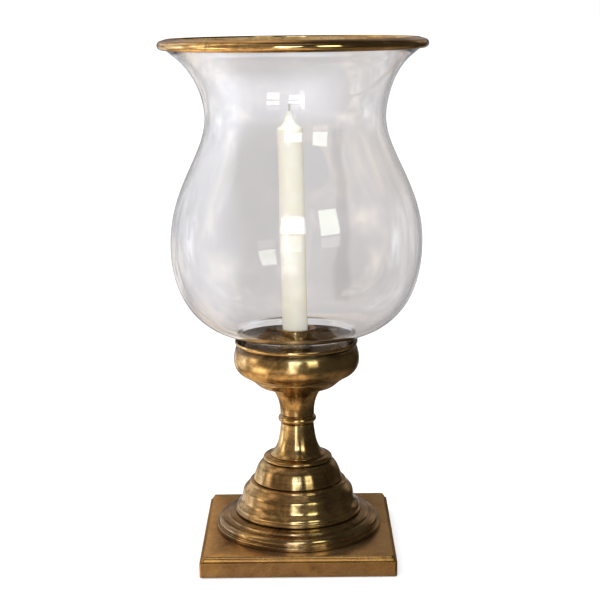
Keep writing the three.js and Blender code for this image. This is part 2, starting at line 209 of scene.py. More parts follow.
class Graph:
    """The nodes of a material, or of the world, under construction."""

    def __init__(self, owner):
        self.owner = owner
        self.tree = owner.node_tree
        self.tree.nodes.clear()
        self.place = self.node("ShaderNodeTexCoord").outputs["Object"]

    def node(self, kind, inputs=None, **settings):
        made = self.tree.nodes.new(kind)
        for key, value in settings.items():
            setattr(made, key, value)
        for key, value in (inputs or {}).items():
            if isinstance(value, bpy.types.NodeSocket):
                self.tree.links.new(value, made.inputs[key])
            else:
                made.inputs[key].default_value = value
        return made

    def noise(self, scale, detail=4.0, roughness=0.6, distortion=0.0, place=None):
        made = self.node("ShaderNodeTexNoise", {
            "Vector": place or self.place, "Scale": scale, "Detail": detail,
            "Roughness": roughness, "Distortion": distortion,
        })
        return made.outputs["Fac"]

    def ramp(self, value, low, high, to_low=0.0, to_high=1.0):
        made = self.node("ShaderNodeMapRange", {
            "Value": value, "From Min": low, "From Max": high, "To Min": to_low, "To Max": to_high,
        }, interpolation_type="SMOOTHSTEP")
        return made.outputs["Result"]

    def maths(self, operation, a, b=0.0, clamp=False):
        made = self.node("ShaderNodeMath", {0: a, 1: b}, operation=operation, use_clamp=clamp)
        return made.outputs[0]

    def mix(self, factor, a, b, blend="MIX"):
        made = self.node("ShaderNodeMix", {"Factor": factor}, data_type="RGBA", blend_type=blend)
        for key, value in ((6, a), (7, b)):
            if isinstance(value, bpy.types.NodeSocket):
                self.tree.links.new(value, made.inputs[key])
            else:
                made.inputs[key].default_value = (*value, 1.0)
        return made.outputs[2]

    def bump(self, height, distance, strength=1.0, normal=None):
        inputs = {"Height": height, "Distance": distance, "Strength": strength}
        if normal:
            inputs["Normal"] = normal
        return self.node("ShaderNodeBump", inputs).outputs["Normal"]

    def height(self):
        return self.node("ShaderNodeSeparateXYZ", {"Vector": self.place}).outputs["Z"]

    def round_and_up(self):
        """The place as (distance from the lamp's axis, height): constant along a turned line."""
        x, y, z = self.node("ShaderNodeSeparateXYZ", {"Vector": self.place}).outputs
        flat = self.node("ShaderNodeCombineXYZ", {"X": x, "Y": y}).outputs["Vector"]
        radius = self.node("ShaderNodeVectorMath", {0: flat}, operation="LENGTH").outputs["Value"]
        return self.node("ShaderNodeCombineXYZ", {"X": radius, "Y": z}).outputs["Vector"]

    def stretched(self, scale):
        """The place, drawn out along an axis whose scale is small."""
        made = self.node("ShaderNodeVectorMath", {0: self.place, 1: scale}, operation="MULTIPLY")
        return made.outputs["Vector"]

    def shade(self, **inputs):
        surface = self.node("ShaderNodeBsdfPrincipled", inputs)
        self.finish(surface.outputs["BSDF"])
        return self.owner

    def finish(self, shader):
        self.node("ShaderNodeOutputMaterial", {"Surface": shader})


# Painted shade: what multiplies the plinth's colour below two heights, in metres: over the whole
# moulded edge, and once more over the plain sides. Each pair of heights is where the change ends
# and starts.
PLINTH_PAINTED_SHADE = (
    ((0.0172, 0.0177), (0.92, 0.74, 0.42)),
    ((0.0124, 0.0132), (0.48, 0.46, 0.45)),
)
OCCLUSION_REACH = 0.012  # how far off, in metres, a neighbouring surface darkens a spot as painted shade, and keeps a cloth from rubbing
FADE_UP = 0.003  # over what height the darker band, painted shade and tarnish, fades in, in metres
FADE_DOWN = 0.0006  # and out again


def scaled(colour, factor):
    return [min(1.0, factor * channel) for channel in colour]


def painted_shade_and_tarnish(g, mottle, clouds, shade_and_dirt, dark_band):
    """How dark a spot is painted: tarnish and painted shade in the corners, from occlusion, and in
    the given band, which is painted shade and tarnish that no cloth reaches.
    """
    # Painted shade: occlusion darkens the corners and creases, and stands also for tarnish there.
    near = g.node("ShaderNodeAmbientOcclusion", {"Distance": OCCLUSION_REACH}, samples=6).outputs["AO"]
    shade_and_tarnish = g.ramp(near, 0.22, 0.84, 1.0, 0.0)
    shade_and_tarnish = g.maths("MULTIPLY", shade_and_tarnish, g.ramp(mottle, 0.2, 0.6, 0.75, 1.0))
    shade_and_tarnish = g.maths("MULTIPLY", shade_and_tarnish, shade_and_dirt, clamp=True)
    # The given band is painted darker: painted shade, and tarnish that no cloth reaches.
    if dark_band:
        low, high = dark_band
        height = g.height()
        above = g.ramp(height, low, low + FADE_UP)
        below = g.ramp(height, high, high + FADE_DOWN, 1.0, 0.0)
        band_shade = g.maths("MULTIPLY", above, below)
        band_shade = g.maths("MULTIPLY", band_shade, g.ramp(clouds, 0.0, 1.0, 0.9, 0.6))
        shade_and_tarnish = g.maths("MAXIMUM", shade_and_tarnish, band_shade)
    return shade_and_tarnish


def turned_bands(g, clouds):
    """Faint darker lines round a turned piece."""
    lines = g.noise(330, detail=3, roughness=0.6, place=g.round_and_up())
    return g.maths("MULTIPLY", g.ramp(lines, 0.48, 0.66, 0.0, 0.55),
                   g.ramp(clouds, 0.0, 1.0, 1.0, 0.45))


def brass(name, gold, brown, tarnish_and_shade_colour, roughness, shade_and_dirt, metallic, turned_lines=True, dark_band=None):
    """Polished brass that has aged: brown clouds, stains, corners dark with tarnish and painted
    shade, bright worn edges.

    The optional band of heights, in metres, is painted darker: painted shade, and tarnish that a
    polishing cloth doesn't reach."""
    g = Graph(new_material(name))
    clouds = g.ramp(g.noise(20, detail=6, roughness=0.65, distortion=0.7), 0.38, 0.64)
    mottle = g.noise(150, detail=5, roughness=0.7)
    stains = g.noise(58, detail=6, roughness=0.72, distortion=1.2)
    stains = g.ramp(stains, 0.54, 0.66, 0.0, 0.65)
    shade_and_tarnish = painted_shade_and_tarnish(g, mottle, clouds, shade_and_dirt, dark_band)
    edge = g.ramp(g.node("ShaderNodeNewGeometry").outputs["Pointiness"], 0.51, 0.56)
    edge = g.maths("MULTIPLY", edge, g.ramp(mottle, 0.3, 0.6, 0.5, 1.0))

    tone = g.mix(clouds, brown, gold)
    tone = g.mix(g.ramp(mottle, 0.38, 0.72, 0.0, 0.45), tone, brown)
    tone = g.mix(stains, tone, scaled(brown, 0.5))
    # Painted shade and tarnish in the corners and in the band.
    tone = g.mix(shade_and_tarnish, tone, tarnish_and_shade_colour)
    if turned_lines:
        tone = g.mix(turned_bands(g, clouds), tone, scaled(brown, 0.6))
    else:
        height = g.height()
        # Painted shade: the plinth's moulding and plain sides are darkened below set heights.
        for (end, start), factor in PLINTH_PAINTED_SHADE:
            tone = g.mix(g.ramp(height, end, start, 1.0, 0.0), tone, factor, "MULTIPLY")
    tone = g.mix(edge, tone, scaled(gold, 1.4))

    grain = {}
    if turned_lines:
        fine = g.noise(1500, detail=3, place=g.round_and_up())
        around = g.node("ShaderNodeTangent", direction_type="RADIAL", axis="Z").outputs["Tangent"]
        grain = {"Anisotropic": 0.6, "Anisotropic Rotation": 0.25, "Tangent": around,
                 "Coat Weight": 0.6, "Coat Roughness": 0.1}
    else:
        fine = g.noise(90, detail=5, roughness=0.8, place=g.stretched((14.0, 0.8, 14.0)))

    smears = g.ramp(g.noise(45, detail=6, roughness=0.75), 0.3, 0.7)
    rough = g.node("ShaderNodeMath", {0: smears, 1: 0.08, 2: roughness}, operation="MULTIPLY_ADD")
    rough = rough.outputs[0]
    for cause, share in ((shade_and_tarnish, 0.3), (stains, 0.12), (fine, 0.03)):
        rough = g.maths("ADD", rough, g.maths("MULTIPLY", cause, share))
    rough = g.maths("SUBTRACT", rough, g.maths("MULTIPLY", edge, roughness * 0.6), clamp=True)

    waves = g.bump(g.noise(38, detail=2), 0.0006, 0.6)
    pits = g.ramp(g.noise(520, detail=3), 0.66, 0.74, 1.0, 0.0)
    normal = g.bump(fine, 0.00002, 0.3, g.bump(pits, 0.00002, 0.2, waves))
    return g.shade(**{
        "Base Color": tone, "Metallic": metallic, "Roughness": rough, "Normal": normal,
        "Specular Tint": (0.7, 0.6, 0.45, 1), **grain,
    })


def steel():
    g = Graph(new_material("plated_steel"))
    spots = g.noise(240, detail=5, roughness=0.7)
    tone = g.mix(g.ramp(spots, 0.3, 0.7), (0.34, 0.33, 0.31), (0.62, 0.62, 0.6))
    rough = g.ramp(spots, 0.3, 0.7, 0.55, 0.32)
    return g.shade(**{
        "Base Color": tone, "Metallic": 1.0, "Roughness": rough,
        "Normal": g.bump(spots, 0.0001, 0.5),
    })


def felt():
    g = Graph(new_material("green_felt"))
    fibres = g.noise(2600, detail=6, roughness=0.8, distortion=1.5)
    tone = g.mix(g.ramp(fibres, 0.3, 0.7), (0.015, 0.035, 0.02), (0.06, 0.12, 0.075))
    return g.shade(**{
        "Base Color": tone, "Roughness": 0.95, "Sheen Weight": 0.4,
        "Normal": g.bump(fibres, 0.0003, 0.8),
    })


def wax():
    g = Graph(new_material("ivory_wax"))
    clouds = g.noise(60, detail=4)
    tone = g.mix(g.ramp(clouds, 0.3, 0.7), (0.86, 0.80, 0.68), (0.91, 0.86, 0.76))
    marks = g.noise(700, detail=4, roughness=0.7)
    tone = g.mix(g.ramp(marks, 0.62, 0.72, 0.0, 0.25), tone, (0.62, 0.55, 0.38))
    rough = g.ramp(g.noise(90, detail=3), 0.3, 0.7, 0.28, 0.45)
    waves = g.bump(g.noise(70, detail=2), 0.0006, 0.35)
    return g.shade(**{
        "Base Color": tone, "Roughness": rough, "Subsurface Weight": 0.35,
        "Subsurface Radius": (0.008, 0.005, 0.0025), "Subsurface Scale": 1.0,
        "IOR": 1.44, "Coat Weight": 0.15, "Coat Roughness": 0.2,
        "Normal": g.bump(marks, 0.00008, 0.4, waves),
    })


def cotton():
    g = Graph(new_material("waxed_cotton"))
    strands = g.noise(1500, detail=4, roughness=0.7)
    tone = g.mix(g.ramp(strands, 0.35, 0.65), (0.42, 0.37, 0.35), (0.74, 0.70, 0.68))
    return g.shade(**{"Base Color": tone, "Roughness": 0.7, "Normal": g.bump(strands, 0.0002, 0.8)})


def glass():
    """Clear blown glass. Shadow rays pass it, so that what stands inside is lit."""
    g = Graph(new_material("clear_glass"))
    haze = g.noise(30, detail=5, roughness=0.7)
    rough = g.ramp(haze, 0.6, 0.8, 0.0, 0.02)
    ripple = g.bump(g.noise(26, detail=1), 0.0004, 0.3)
    surface = g.node("ShaderNodeBsdfPrincipled", {
        "Base Color": (0.95, 0.945, 0.945, 1), "Roughness": rough, "IOR": 1.48,
        "Transmission Weight": 1.0, "Normal": ripple,
    })
    clear = g.node("ShaderNodeBsdfTransparent", {"Color": (0.94, 0.945, 0.95, 1)})
    shadow = g.node("ShaderNodeLightPath").outputs["Is Shadow Ray"]
    both = g.node("ShaderNodeMixShader", {0: shadow, 1: surface.outputs[0], 2: clear.outputs[0]})
    g.finish(both.outputs[0])
    return g.owner


# The very dark colour of the corners: tarnish and painted shade.
TARNISH_AND_SHADE = (0.03, 0.018, 0.01)
turned_brass = brass("aged_brass_turned", gold=(0.68, 0.47, 0.19), brown=(0.31, 0.185, 0.07),
                     tarnish_and_shade_colour=TARNISH_AND_SHADE, roughness=0.13, shade_and_dirt=1.15, metallic=0.97)
plinth_brass = brass("aged_brass_plinth", gold=(0.56, 0.36, 0.17), brown=(0.32, 0.195, 0.105),
                     tarnish_and_shade_colour=TARNISH_AND_SHADE, roughness=0.24, shade_and_dirt=1.0, metallic=0.93, turned_lines=False)
# The candle pan is painted as very dark brass: painted shade inside the cup, where little light
# reaches.
pan_brass_painted_shade = brass("brass_pan_painted_shade", gold=(0.15, 0.105, 0.055), brown=(0.06, 0.04, 0.02),
                  tarnish_and_shade_colour=TARNISH_AND_SHADE, roughness=0.2, shade_and_dirt=1.0, metallic=0.95)
# The cup's brass is painted darker in a band under the lip: painted shade, and tarnish.
cup_brass = brass("aged_brass_cup", gold=(0.66, 0.45, 0.18), brown=(0.34, 0.20, 0.075),
                  tarnish_and_shade_colour=TARNISH_AND_SHADE, roughness=0.13, shade_and_dirt=1.0, metallic=0.97, dark_band=(0.1772, 0.1834))
# The foot ring: a darker copy of the turned brass, with heavier darkening in its corners, as
# painted shade.
foot_brass_darkened = brass("brass_foot_painted_shade", gold=(0.62, 0.42, 0.18), brown=(0.22, 0.135, 0.06),
                   tarnish_and_shade_colour=TARNISH_AND_SHADE, roughness=0.13, shade_and_dirt=1.5, metallic=0.97)
rim_brass = brass("polished_brass", gold=(0.80, 0.57, 0.27), brown=(0.55, 0.34, 0.13),
                  tarnish_and_shade_colour=(0.08, 0.045, 0.02), roughness=0.08, shade_and_dirt=0.7, metallic=0.98)


def paint(piece, material):
    piece.data.materials.clear()
    piece.data.materials.append(material)


def show(piece, node, body, material):
    """The piece takes the node's place, rides on its body and has its finish."""
    paint(piece, material)
    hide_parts(node)
    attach(piece, body)
    return piece


# Pedestal


def foot_ring():
    top = 14.0
    return (Outline(68.2, 0)
            .line((72.2, 0), (72.2, 3.3), (71.7, 3.7), (70.3, 3.8), (70.1, 4.2))
            .curve((70.5, 7.8), (69.6, 10.2), (62.7, 10.7), steps=20)
            .line((62.3, 11.0), (62.2, 12.2), (61.7, 12.6), (55.5, top))
            .line((46, top), (46, top - WEB), (58, top - WEB))
            .curve((66.4, 9.4), (68.2, 0)))


def lower_dome():
    top = 27.9
    return (Outline(42.5, -SPIGOT)
            .line((45.5, -SPIGOT), (45.5, 0), (54.2, 0), (55.3, 0.6), (55.4, 2.4), (54.7, 3.0))
            .curve((53.9, 3.4), (53.9, 4.4), steps=6)
            .curve((53.9, 7.0), (50.7, 8.2), (49.7, 11.2))
            .curve((49.0, 13.0), (48.7, 17.2), (48.1, 19.0))
            .curve((47.7, 20.6), (45.9, 22.4), (42.5, 25.5))
            .line((42.3, 26.1))
            .curve((42.9, 27.4), (40.5, top))
            .line((30, top), (30, top - 3.5), (38.2, top - 3.7))
            .curve((45.0, 20), (47.3, 8))
            .line((47.3, 4), (42.5, 3)))


def upper_dome():
    top = 18.5
    return (Outline(26.5, -SPIGOT)
            .line((29.5, -SPIGOT), (29.5, 0), (38.7, 0), (39.1, 0.7))
            .curve((38.2, 4.2), (36.6, 9.0), (34.8, 12.4))
            .curve((33.2, 15.1), (31.3, 17.0), (29.2, top - 0.5))
            .line((28.6, top), (ROD_HOLE, top), (ROD_HOLE, top - WEB), (25.2, top - WEB))
            .curve((32.2, 10), (34.5, 3.4))
            .line((26.5, 3)))


def collar():
    top = 3.7
    return (Outline(ROD_HOLE, 0)
            .line((30.0, 0), (30.3, 0.5), (30.2, 1.3))
            .curve((29.6, 3.2), (25.9, top - 0.3))
            .line((24.9, top), (ROD_HOLE, top)))


def lower_stem():
    top = 28.7
    return (Outline(20.5, 0)
            .line((24.4, 0))
            .curve((17.8, 5), (16.0, 12), (14.4, top - 0.6))
            .line((13.9, top), (ROD_HOLE, top), (ROD_HOLE, top - WEB), (10.4, top - WEB))
            .curve((12.4, 6), (20.5, 0)))


def knop():
    top = 6.9
    return (Outline(ROD_HOLE, 0)
            .line((14.2, 0), (14.9, 0.7))
            .curve((17.0, 1.8), (17.6, 4.3), (14.9, top - 0.7))
            .line((14.4, top), (ROD_HOLE, top)))


def upper_stem():
    top = 24.4
    return (Outline(ROD_HOLE, 0)
            .line((14.6, 0), (14.9, 0.4))
            .curve((14.8, 9), (16.6, 17), (22.3, top - 0.6))
            .line((22.1, top), (18.4, top), (18.2, top - 1.8))
            .curve((12.2, 14), (11.2, WEB))
            .line((ROD_HOLE, WEB)))


def bowl_foot():
    top = 10.9
    return (Outline(ROD_HOLE, -SPIGOT)
            .line((17.9, -SPIGOT), (17.9, 0), (25.4, 0), (26.6, 0.5))
            .curve((35.7, 1.2), (34.1, 4.2), (42.7, top - 1.3), steps=20)
            .line((42.9, top - 0.6), (42.4, top), (36, top), (36, top - 1.8))
            .curve((32, 5.2), (22, 3.6))
            .line((ROD_HOLE, 3.4)))


def cup_bowl():
    top = 31.0
    return (Outline(ROD_HOLE, -SPIGOT)
            .line((35.6, -SPIGOT), (35.6, 0), (44.8, 0))
            .curve((52, 2.4), (57.6, 9.6), (53.0, 23.6), steps=28)
            .curve((52.4, 25.6), (50.9, 26.2), (50.9, 26.8), steps=6)
            .curve((53.4, 27.4), (53.4, top - 1.4))
            .line((53.2, top - 0.4), (52.7, top), (52.2, top - 0.6), (49.8, 27.2))
            .line((49.8, 23.0), (46.5, 23.0), (46.5, 21.4))
            .curve((53.2, 17.2), (51.4, 5.6), (39.5, 2.6))
            .line((ROD_HOLE, 2.4)))


# Cup's furniture


def candle_pan():
    sheet, floor, step, hole = 1.8, 4.1, 45.2, 13.7
    return (Outline(hole, floor - sheet)
            .line((step - sheet, floor - sheet), (step - sheet + 0.3, 0), (49.4, 0), (49.4, sheet))
            .line((step + 0.3, sheet), (step, floor - 0.3), (step - 0.4, floor))
            .line(*[place for ring in (41.0, 34.0, 27.0, 20.5)
                    for place in ((ring, floor), (ring - 0.35, floor - 0.25), (ring - 0.7, floor))])
            .line((hole, floor)))


def candle_socket():
    tube, bore, tail, sole, top = 13.3, 12.2, 12.3, 5.0, 10.6
    return (Outline(ROD_HOLE, -tail)
            .line((tube, -tail), (tube, 0), (16.7, 0))
            .curve((17.9, 0.2), (17.9, 1.7), (16.5, 1.8), steps=8)
            .line((15.0, 1.9))
            .curve((16.1, 2.0), (16.1, 3.2), (14.8, 3.3), steps=8)
            .line((tube + 0.2, 3.5), (tube, 4.0), (tube, top), (bore, top), (bore, sole - tail))
            .line((ROD_HOLE, sole - tail)))


def drip_ring():
    bore, edge = 12.2, 17.1
    return (Outline(bore, 0)
            .line((13.8, 0), (edge - 0.3, 0.4), (edge, 1.1), (edge - 0.4, 1.5))
            .curve((15.2, 1.1), (13.8, 1.05))
            .line((bore, 1.05)))


turned_pieces = (
    ("foot_ring", foot_ring, WIDE_SIDES, 0.5),
    ("lower_dome", lower_dome, WIDE_SIDES, 0.5),
    ("upper_dome", upper_dome, WIDE_SIDES, 0.5),
    ("collar", collar, STEM_SIDES, 0.4),
    ("lower_stem", lower_stem, STEM_SIDES, 0.4),
    ("knop", knop, STEM_SIDES, 0.4),
    ("upper_stem", upper_stem, STEM_SIDES, 0.4),
    ("bowl_foot", bowl_foot, WIDE_SIDES, 0.4),
    ("cup_bowl", cup_bowl, WIDE_SIDES, 0.4),
    ("candle_pan", candle_pan, WIDE_SIDES, 0.15),
    ("candle_socket", candle_socket, STEM_SIDES, 0.25),
    ("drip_ring", drip_ring, STEM_SIDES, 0.2),
)
finishes = {"candle_pan": pan_brass_painted_shade, "cup_bowl": cup_brass, "foot_ring": foot_brass_darkened}
for node, profile, sides, ease in turned_pieces:
    outline = profile()
    piece = turned(f"{node}_turned", eased(outline.points, ease), sides, seat(node, outline))
    show(piece, node, "root", finishes.get(node, turned_brass))


# Plinth


PLINTH_HALF = 83.0
PLINTH_CORNER = 2.2  # radius
PLINTH_FOOT = 0.6  # height of the lower edge above the table
PLINTH_TOP = 17.9
PLINTH_WALL = 3.0
CORNER_STEPS = 8


def square_ring(half, z, corner=PLINTH_CORNER):
    """A square with rounded corners, as points in metres."""
    middle = half - corner
    ring = []
    for quarter in range(4):
        towards = (quarter + 0.5) * math.pi / 2
        x, y = (math.copysign(middle, side) for side in (math.cos(towards), math.sin(towards)))
        centre = Vector((x, y, z))
        for step in range(CORNER_STEPS + 1):
            angle = (quarter + step / CORNER_STEPS) * math.pi / 2
            ring.append((centre + corner * Vector((math.cos(angle), math.sin(angle), 0))) * MM)
    return ring


def round_ring(radius, z):
    """A circle whose points lie on the lines from the middle to a square ring's points."""
    flat = [Vector((point.x, point.y, 0)) for point in square_ring(PLINTH_HALF, z)]
    return [place.normalized() * radius * MM + Vector((0, 0, z * MM)) for place in flat]


def base_plinth():
    """A square box, open below. Its plates run from square edges to the round hole for the rod."""
    edge, inner, ceiling = PLINTH_HALF, PLINTH_HALF - PLINTH_WALL, PLINTH_TOP - WEB
    between, between_corner, about, chamfer = 60, 6, 40, 1.5
    outline = (Outline(inner, PLINTH_FOOT)
               .line((edge, PLINTH_FOOT), (edge, 12.8), (edge - 0.6, 13.3))
               .curve((edge - 1.9, 13.5), (edge - 2.1, 15.7), steps=10)
               .line((edge - 2.7, 16.1), (edge - 3.0, 16.3), (edge - 3.5, PLINTH_TOP)))
    rings = [square_ring(half, z) for half, z in eased(outline.points, 0.3, closed=False)]
    rings += [square_ring(between, PLINTH_TOP, between_corner)]
    rings += [round_ring(about, PLINTH_TOP), round_ring(ROD_HOLE, PLINTH_TOP)]
    rings += [round_ring(ROD_HOLE, ceiling), round_ring(about, ceiling)]
    rings += [square_ring(inner - chamfer, ceiling), square_ring(inner, ceiling - chamfer)]
    bm = bmesh.new()
    loft(bm, rings, closed=True)
    return make_object("base_plinth_cast", bm)


BOSS_AT = 67.0  # how far along X and along Y from the middle the bosses and pads stand
CORNERS = ((1, 1), (-1, 1), (-1, -1), (1, -1))


def post(name, corner, radius, low, high, ease, sides):
    """An upright solid cylinder under one corner of the plinth."""
    outline = [Vector(p) for p in ((0, low), (radius, low), (radius, high), (0, high))]
    piece = turned(name, eased(outline, ease, closed=False), sides, closed=False)
    piece.data.transform(Matrix.Translation(Vector((*corner, 0)) * BOSS_AT * MM))
    return piece


def joined(piece, others):
    """The piece with others made one with it, as they are cast."""
    for other in others:
        union = piece.modifiers.new("union", "BOOLEAN")
        union.object = other
        union.solver = "EXACT"
    bpy.context.view_layer.update()
    result = piece.evaluated_get(bpy.context.evaluated_depsgraph_get())
    mesh = bpy.data.meshes.new_from_object(result)
    piece.modifiers.clear()
    piece.data = mesh
    for other in others:
        bpy.data.objects.remove(other)
    return piece


bosses = [post("boss", corner, 11, 2.8, 14.6, 0.5, 48) for corner in CORNERS]
plinth = joined(base_plinth(), bosses)
show(plinth, "base_plinth", "root", plinth_brass)
flats = plinth.modifiers.new("flats", "WEIGHTED_NORMAL")
flats.keep_sharp = True

felt_material = felt()
for number, corner in enumerate(CORNERS, start=1):
    pad = post(f"felt_pad_{number}_cut", corner, 9, 0, 2.5, 0.4, 64)
    show(pad, f"felt_pad_{number}", "root", felt_material)

steel_material = steel()
for node in ("tie_rod", "rod_washer", "rod_nut"):
    paint(frame["nodes"][node], steel_material)


# Candle


candle_axis = Vector(next(j for j in frame["joints"] if j["name"] == "candle_pull")["axis"])
CANDLE_FOOT = Vector((-0.63, 0, 176.3))
CANDLE_HEIGHT = 207.7
WICK_BORE = 1.2
WICK_DEPTH = 6.0


def leaning():
    """From upright on the origin to the candle's place in its socket."""
    turn = Vector((0, 0, 1)).rotation_difference(candle_axis).to_matrix().to_4x4()
    return Matrix.Translation(CANDLE_FOOT * MM) @ turn


def candle():
    shoulder = 191.8
    well = CANDLE_HEIGHT - WICK_DEPTH
    outline = (Outline(0, 0)
               .line((10.3, 0), (10.8, 0.5))
               .line(*[(10.8 + 0.2 * z / shoulder, z) for z in range(10, 190, 10)])
               .line((11.0, shoulder))
               .curve((10.9, shoulder + 1.3), (9.6, shoulder + 2.0), steps=6)
               .curve((4.6, shoulder + 4.8), (3.8, shoulder + 9.5), (2.4, CANDLE_HEIGHT))
               .line((WICK_BORE, CANDLE_HEIGHT), (WICK_BORE, well), (0, well)))
    points = eased(outline.points, 0.6, closed=False)
    piece = turned("candle_dipped", points, STEM_SIDES, closed=False)
    piece.data.transform(leaning())
    return piece


def wick():
    """Three strands twisted together, which draw to a point at the top."""
    low = CANDLE_HEIGHT - WICK_DEPTH + 0.3
    length, strand, about = 11.7, 0.42, 0.4
    turns, point = 2.4, 0.05
    strands, steps, sides = 3, 44, 10

    def at(radius, angle, height):
        return Vector((radius * math.cos(angle), radius * math.sin(angle), height))

    bm = bmesh.new()
    for k in range(strands):
        rings = [[at(about, FULL_TURN * k / strands, low) * MM]]
        for i in range(steps + 1):
            t = i / steps
            angle = FULL_TURN * (k / strands + turns * t)
            end = math.sqrt(max(0.02, 1 - max(0.0, (t - (1 - point)) / point) ** 2))
            centre = at(about * end, angle, low + length * t)
            around = [FULL_TURN * side / sides for side in range(sides)]
            rings.append([(centre + at(strand * end, a, 0)) * MM for a in around])
        rings.append([at(0, 0, low + length) * MM])
        loft(bm, rings, closed=False)
    piece = make_object("wick_twisted", bm)
    piece.data.transform(leaning())
    return piece


show(candle(), "candle", "candle", wax())
show(wick(), "wick", "candle", cotton())


# Shade


GLASS_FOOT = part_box("glass_shade")[0][2] / MM
GLASS_THICKNESS = 2.2

# The ring round the mouth, above the glass's foot: the tube's middle, the crest's from there, and
# their radii.
RIM = Vector((109.6, 258.0))
RIM_TUBE = 3.9
CREST = Vector((-4.4, 4.0))
CREST_TUBE = 1.3
LIP_SLOPE = math.radians(39)


def glass_line():
    """The outside of the glass, from its foot to its lip."""
    lip = Vector((math.cos(LIP_SLOPE), math.sin(LIP_SLOPE)))
    end = RIM + Vector((lip.y, -lip.x)) * GLASS_THICKNESS / 2
    mouth = end - 13 * lip
    outline = (Outline(48.2, 0)
               .line((49.1, 4.8), (49.9, 9.5))
               .curve((50.3, 11.3), (51.6, 11.7), (55.4, 12.4), steps=12)
               .curve((84.8, 17.6), (107.5, 43.6), (107.5, 91.0), steps=40)
               .curve((107.5, 139.6), (76.3, 167.3), (76.3, 197.7), steps=40)
               .curve((76.3, 211.0), (82.5, 235.0), mouth, steps=24)
               .line(end))
    return outline.points


def offset(points, distance):
    """Each point moved square to the line, to its left, in mm."""
    out = []
    for i, here in enumerate(points):
        along = points[min(i + 1, len(points) - 1)] - points[max(i - 1, 0)]
        out.append(here + Vector((-along.y, along.x)).normalized() * distance)
    return out


def eased_step(value, low, high):
    t = min(1.0, max(0.0, (value - low) / (high - low)))
    return t * t * (3 - 2 * t)


def blown(place, angle):
    """A hand-blown shade is a little out of true: its body stands off to one side."""
    height = place.z - GLASS_FOOT
    shift = (0.8 * eased_step(height, 1, 9) + 0.5 * eased_step(height, 70, 115)
             - 1.3 * eased_step(height, 215, 249))
    swell = 0.4 * eased_step(height, 12, 60) * eased_step(height, 250, 200)
    swell *= math.cos(2 * angle + 0.8)
    out = Vector((place.x, place.y, 0)).normalized()
    return place + Vector((shift, 0, 0)) + swell * out


def blown_inside(place, angle):
    """The wall's thickness wanders a little."""
    out = Vector((place.x, place.y, 0)).normalized()
    rise = min(1.0, max(0.0, (place.z - GLASS_FOOT - 10) / 240))
    wander = 0.3 * math.sin(math.pi * rise) * noise.noise(place / 38)
    return blown(place, angle) + wander * out


def glass_shade():
    outside = glass_line()
    inside = offset(outside, GLASS_THICKNESS)
    inside[0].y = outside[0].y

    def melted(*corners):
        return eased(corners, 0.9, closed=False, steps=6)[1:-1]

    runs = (
        (blown, outside[1:-1]),
        (blown, melted(outside[-2], outside[-1], inside[-1], inside[-2])),
        (blown_inside, inside[-2:0:-1]),
        (blown, melted(inside[1], inside[0], outside[0], outside[1])),
    )
    rings = [circle(radius, height + GLASS_FOOT, RIM_SIDES, shape)
             for shape, points in runs for radius, height in points]
    bm = bmesh.new()
    loft(bm, rings, closed=True)
    return make_object("glass_shade_blown", bm)


def rim_ring():
    """A tube rolled round the glass's lip, with a slit for it and a low crest on top."""
    slit, bore = math.radians(30), 3.0
    low = LIP_SLOPE - math.pi + slit
    high = LIP_SLOPE + math.pi - slit
    tangent = math.atan2(CREST.y, CREST.x) - math.acos((RIM_TUBE - CREST_TUBE) / CREST.length)

    def at(middle, radius, angle):
        return middle + radius * Vector((math.cos(angle), math.sin(angle)))

    def arc(middle, radius, start, end, steps):
        return [at(middle, radius, start + (end - start) * i / steps) for i in range(steps + 1)]

    section = arc(RIM, RIM_TUBE, low, tangent, 24)
    section += arc(RIM + CREST, CREST_TUBE, tangent, math.pi, 10)
    section += [at(RIM, RIM_TUBE, high)] + arc(RIM, bore, high, low, 28)
    return turned("rim_ring_rolled", eased(section, 0.35), RIM_SIDES, GLASS_FOOT)


show(glass_shade(), "glass_shade", "shade", glass())
show(rim_ring(), "rim_ring", "shade", rim_brass)


# Studio


WHITE = (1, 1, 1, 1)
FLOOR_RADIUS = 60.0  # metres, so that its edge isn't seen


def make_floor():
    """Pale paper, which neither the metal nor the glass shows."""
    bm = bmesh.new()
    bmesh.ops.create_circle(bm, cap_ends=True, radius=FLOOR_RADIUS, segments=64)
    floor = make_object("floor", bm)
    g = Graph(new_material("floor_paper"))
    tone = g.mix(g.noise(3, detail=3), (0.93, 0.93, 0.93), (0.95, 0.95, 0.95))
    paint(floor, g.shade(**{
        "Base Color": tone, "Roughness": 0.9, "Emission Color": WHITE, "Emission Strength": 0.2,
    }))
    floor.visible_glossy = False
    floor.visible_transmission = False


